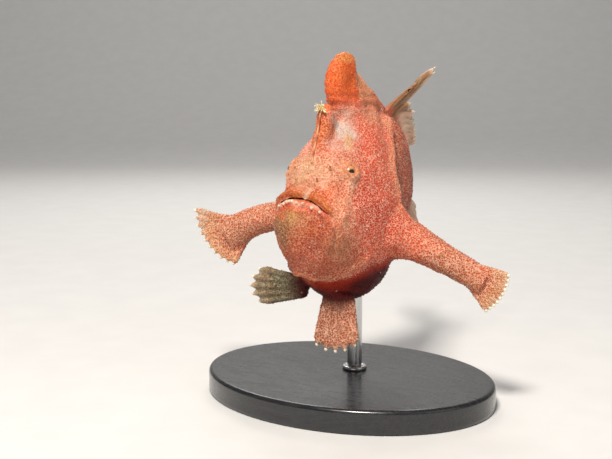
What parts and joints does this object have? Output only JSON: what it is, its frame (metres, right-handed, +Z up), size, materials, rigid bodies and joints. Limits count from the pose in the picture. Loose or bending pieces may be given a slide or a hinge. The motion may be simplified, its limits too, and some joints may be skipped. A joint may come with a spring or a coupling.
{
  "type": "frogfish model",
  "caption": "Life-size still model of a frogfish with spread arm-like fins, a raised knob-like back spine and a lure, held by a short rod on a flat oval stand",
  "frame": {"origin": "centre of the underside of the stand's base", "axes": "+Z up; the fish faces -Y and its left side is towards +X"},
  "size_m": [0.0995, 0.1087, 0.1038],
  "materials": {
    "skin": "satin, painted as living skin",
    "spine": "satin, painted as living skin",
    "fin": "satin, slightly see-through",
    "eye": "gloss",
    "base": "black lacquer, satin",
    "rod": "brushed"
  },
  "bodies": {
    "root": {"anal_fin": "fin", "caudal_fin": "fin", "head": "skin", "illicium": "spine", "left_arm": "skin", "left_eye": "eye", "left_hand": "fin", "left_pelvic_fin": "fin", "lower_jaw": "skin", "right_arm": "skin", "right_eye": "eye", "right_hand": "fin", "right_pelvic_fin": "fin", "second_dorsal_spine": "spine", "soft_dorsal_fin": "fin", "stand_base": "base", "stand_rod": "rod", "tail": "skin", "third_dorsal_spine": "spine", "trunk": "skin"}
  },
  "joints": []
}
